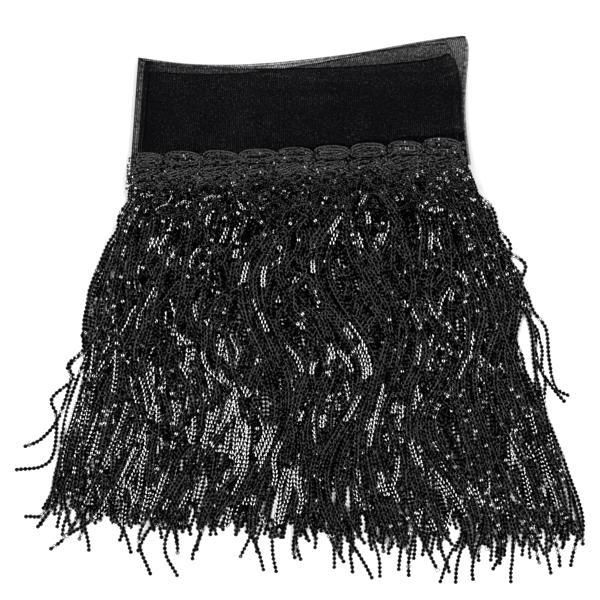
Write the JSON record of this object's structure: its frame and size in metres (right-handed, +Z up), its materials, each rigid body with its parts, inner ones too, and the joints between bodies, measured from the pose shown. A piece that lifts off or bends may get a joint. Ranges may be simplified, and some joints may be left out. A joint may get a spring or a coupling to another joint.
{
  "type": "folded sequin fringe trim",
  "caption": "Folded sewing trim: a sheer net heading edged with sequinned leaves, hung with a dense fringe of sequin strands, lying flat.",
  "frame": {"origin": "centre of the object's box, at its underside: the surface it lies on is z = 0", "axes": "+X along the heading to the right, +Y up the heading and away from the strands, +Z up from the surface towards the sequinned side of the top run"},
  "size_m": [0.3497, 0.3399, 0.0142],
  "materials": {
    "net_heading": "sheer matt black net",
    "leaf_band": "glossy black sequins sewn on net",
    "fringe": "glossy black sequins strung on thread"
  },
  "bodies": {
    "root": {"net_heading": "net_heading", "leaf_band": "leaf_band", "fringe": "fringe"}
  },
  "joints": []
}
